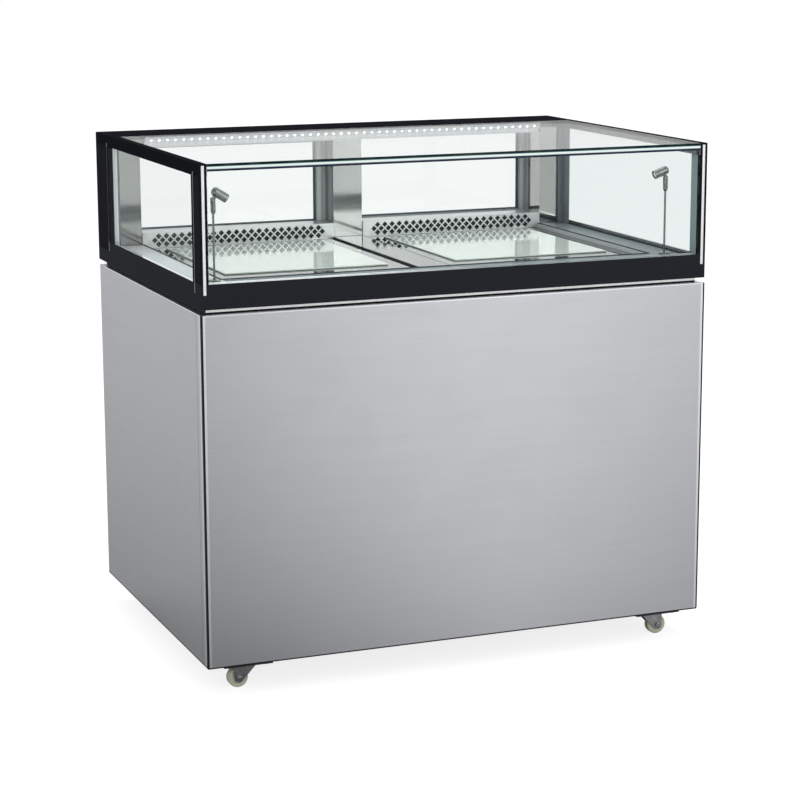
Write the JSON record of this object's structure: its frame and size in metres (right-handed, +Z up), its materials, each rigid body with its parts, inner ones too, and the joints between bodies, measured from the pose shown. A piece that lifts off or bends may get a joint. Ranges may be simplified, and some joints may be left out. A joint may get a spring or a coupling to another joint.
{
  "type": "refrigerated display counter",
  "caption": "Refrigerated glass display counter: steel base on swivel casters, low framed glass case with lit cold deck, sliding doors at the back.",
  "frame": {"origin": "on the floor below the middle of the cabinet", "axes": "+Z up, -Y towards the customer's side, +X to the right seen from the customer's side"},
  "size_m": [1, 0.7, 0.966],
  "materials": {
    "brushed_steel": "brushed stainless sheet",
    "polished_steel": "mirror polished stainless",
    "black_frame": "satin black",
    "clear_glass": "clear float glass",
    "white_glass": "back-painted white glass",
    "door_aluminium": "satin anodised",
    "deck_steel": "bright stainless",
    "lamp_body": "white lamp channel",
    "spot_nickel": "satin nickel",
    "dark_steel": "dark painted steel",
    "zinc": "zinc plated pressed steel",
    "nylon": "cream nylon",
    "foam_shell": "white moulded shell over foam",
    "compressor_paint": "black enamel",
    "fins": "plain aluminium fins",
    "copper": "bare copper",
    "black_plastic": "black moulded plastic"
  },
  "bodies": {
    "cabinet": {"front_panel": "brushed_steel", "left_side_panel": "brushed_steel", "right_side_panel": "brushed_steel", "rear_panel": "brushed_steel", "service_grille": "brushed_steel", "left_rear_post": "polished_steel", "right_rear_post": "polished_steel", "centre_rear_post": "polished_steel", "left_air_grille": "polished_steel", "right_air_grille": "polished_steel", "neck_plinth": "black_frame", "display_base_frame": "black_frame", "top_frame": "black_frame", "left_front_post": "black_frame", "right_front_post": "black_frame", "front_glass": "clear_glass", "left_side_glass": "clear_glass", "right_side_glass": "clear_glass", "top_glass": "clear_glass", "left_deck_glass": "white_glass", "right_deck_glass": "white_glass", "left_deck_tray": "deck_steel", "right_deck_tray": "deck_steel", "front_ledge": "deck_steel", "led_bar": "lamp_body", "left_spot_stand": "spot_nickel", "right_spot_stand": "spot_nickel", "chassis_frame": "dark_steel", "front_left_caster_plate": "dark_steel", "front_right_caster_plate": "dark_steel", "rear_left_caster_plate": "dark_steel", "rear_right_caster_plate": "dark_steel", "insulated_tub": "foam_shell", "compressor": "compressor_paint", "condenser_coil": "fins", "evaporator_coil": "fins", "suction_line": "copper", "condenser_fan_housing": "black_plastic", "evaporator_fan_housing": "black_plastic", "temperature_controller": "black_plastic", "power_inlet": "black_plastic"},
    "left_door": {"left_door_frame": "door_aluminium", "left_door_glass": "clear_glass"},
    "right_door": {"right_door_frame": "door_aluminium", "right_door_glass": "clear_glass"},
    "left_spot_arm": {"left_spot_swivel": "spot_nickel"},
    "left_spot_lamp": {"left_spot_head": "spot_nickel"},
    "right_spot_arm": {"right_spot_swivel": "spot_nickel"},
    "right_spot_lamp": {"right_spot_head": "spot_nickel"},
    "condenser_fan": {"condenser_fan_blade": "black_plastic"},
    "evaporator_fan": {"evaporator_fan_blade": "black_plastic"},
    "light_switch": {"light_switch_rocker": "black_plastic"},
    "front_left_caster_swivel": {"front_left_caster_fork": "zinc"},
    "front_left_caster_roller": {"front_left_caster_wheel": "nylon"},
    "front_right_caster_swivel": {"front_right_caster_fork": "zinc"},
    "front_right_caster_roller": {"front_right_caster_wheel": "nylon"},
    "rear_left_caster_swivel": {"rear_left_caster_fork": "zinc"},
    "rear_left_caster_roller": {"rear_left_caster_wheel": "nylon"},
    "rear_right_caster_swivel": {"rear_right_caster_fork": "zinc"},
    "rear_right_caster_roller": {"rear_right_caster_wheel": "nylon"}
  },
  "joints": [
    {"name": "left_door_slide", "type": "slide", "parent": "cabinet", "child": "left_door", "axis": [1, 0, 0], "range_m": [0, 0.44]},
    {"name": "right_door_slide", "type": "slide", "parent": "cabinet", "child": "right_door", "axis": [-1, 0, 0], "range_m": [0, 0.44]},
    {"name": "left_spot_pan", "type": "hinge", "parent": "cabinet", "child": "left_spot_arm", "pos_m": [-0.45, -0.27, 0.8683], "axis": [0, 0, 1], "range_deg": [-45, 125]},
    {"name": "left_spot_tilt", "type": "hinge", "parent": "left_spot_arm", "child": "left_spot_lamp", "pos_m": [-0.45, -0.27, 0.8938], "axis": [0, 1, 0], "range_deg": [-57, 30]},
    {"name": "right_spot_pan", "type": "hinge", "parent": "cabinet", "child": "right_spot_arm", "pos_m": [0.455, -0.27, 0.8683], "axis": [0, 0, 1], "range_deg": [-125, 45]},
    {"name": "right_spot_tilt", "type": "hinge", "parent": "right_spot_arm", "child": "right_spot_lamp", "pos_m": [0.455, -0.27, 0.8938], "axis": [0, -1, 0], "range_deg": [-45, 42]},
    {"name": "front_left_caster_turn", "type": "hinge", "parent": "cabinet", "child": "front_left_caster_swivel", "pos_m": [-0.42, -0.305, 0.043], "axis": [0, 0, 1], "continuous": true},
    {"name": "front_left_wheel_spin", "type": "hinge", "parent": "front_left_caster_swivel", "child": "front_left_caster_roller", "pos_m": [-0.432, -0.305, 0.019], "axis": [0, 1, 0], "continuous": true},
    {"name": "front_right_caster_turn", "type": "hinge", "parent": "cabinet", "child": "front_right_caster_swivel", "pos_m": [0.42, -0.305, 0.043], "axis": [0, 0, 1], "continuous": true},
    {"name": "front_right_wheel_spin", "type": "hinge", "parent": "front_right_caster_swivel", "child": "front_right_caster_roller", "pos_m": [0.432, -0.305, 0.019], "axis": [0, 1, 0], "continuous": true},
    {"name": "rear_left_caster_turn", "type": "hinge", "parent": "cabinet", "child": "rear_left_caster_swivel", "pos_m": [-0.42, 0.3, 0.043], "axis": [0, 0, 1], "continuous": true},
    {"name": "rear_left_wheel_spin", "type": "hinge", "parent": "rear_left_caster_swivel", "child": "rear_left_caster_roller", "pos_m": [-0.432, 0.3, 0.019], "axis": [0, 1, 0], "continuous": true},
    {"name": "rear_right_caster_turn", "type": "hinge", "parent": "cabinet", "child": "rear_right_caster_swivel", "pos_m": [0.42, 0.3, 0.043], "axis": [0, 0, 1], "continuous": true},
    {"name": "rear_right_wheel_spin", "type": "hinge", "parent": "rear_right_caster_swivel", "child": "rear_right_caster_roller", "pos_m": [0.432, 0.3, 0.019], "axis": [0, 1, 0], "continuous": true},
    {"name": "condenser_fan_spin", "type": "hinge", "parent": "cabinet", "child": "condenser_fan", "pos_m": [-0.2002, 0.18, 0.1911], "axis": [0, 1, 0], "continuous": true},
    {"name": "evaporator_fan_spin", "type": "hinge", "parent": "cabinet", "child": "evaporator_fan", "pos_m": [-0.0802, 0.07, 0.6135], "axis": [0, 1, 0], "continuous": true},
    {"name": "light_switch_rock", "type": "hinge", "parent": "cabinet", "child": "light_switch", "pos_m": [0.3482, 0.3431, 0.4662], "axis": [1, 0, 0], "range_deg": [-16, 0]}
  ]
}
